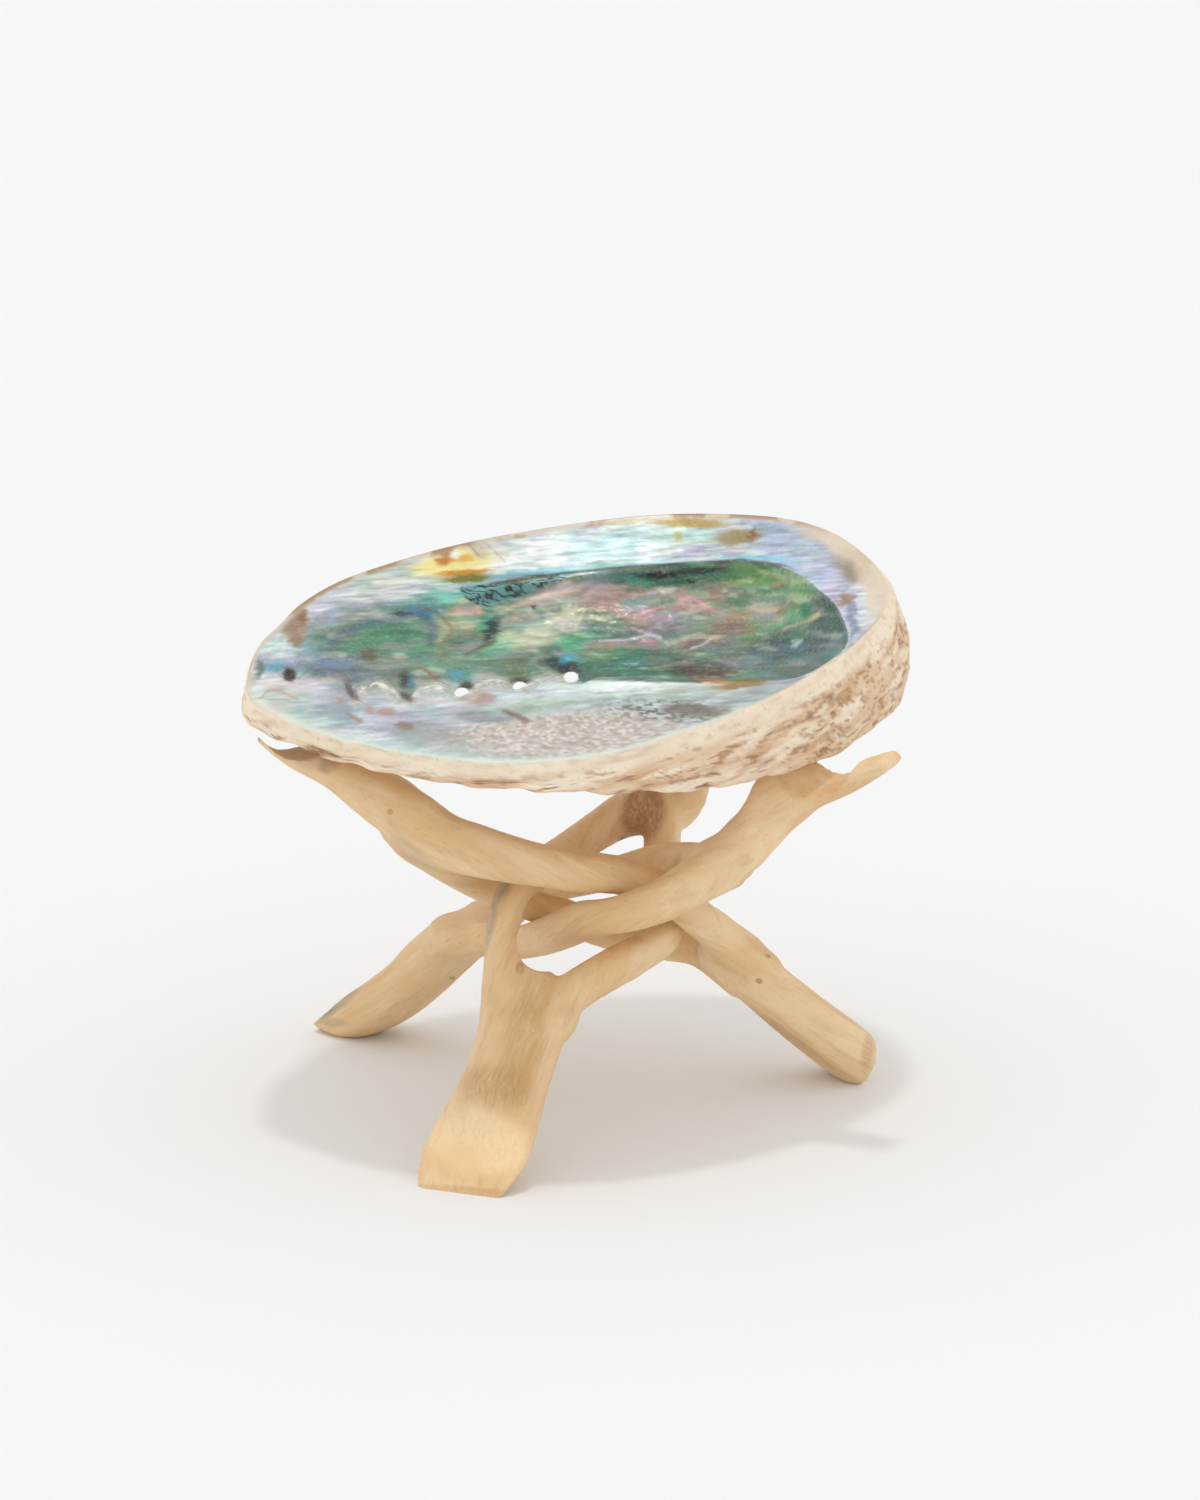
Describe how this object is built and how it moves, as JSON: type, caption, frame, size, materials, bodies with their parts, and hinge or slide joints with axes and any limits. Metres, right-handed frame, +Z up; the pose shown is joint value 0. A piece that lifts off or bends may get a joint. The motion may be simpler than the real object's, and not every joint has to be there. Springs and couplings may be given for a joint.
{
  "type": "abalone shell on wooden stand",
  "caption": "Abalone shell lying mouth up as a shallow bowl on a stand of interlocked wooden legs, each a foot, strands round an open eye, and a head that cups the shell.",
  "frame": {"origin": "on the floor, under the middle of the whole object's box", "axes": "+Z up; -Y towards the camera of the picture, so that leg_front's foot is at -Y and +X is to the right in the picture"},
  "size_m": [0.1444, 0.1406, 0.1188],
  "materials": {
    "shell": "mother of pearl inside, rough worn cream outside",
    "leg_front": "pale carved wood, satin",
    "leg_left": "pale carved wood, satin",
    "leg_right": "pale carved wood, satin"
  },
  "bodies": {
    "root": {"shell": "shell", "leg_front": "leg_front", "leg_left": "leg_left", "leg_right": "leg_right"}
  },
  "joints": []
}
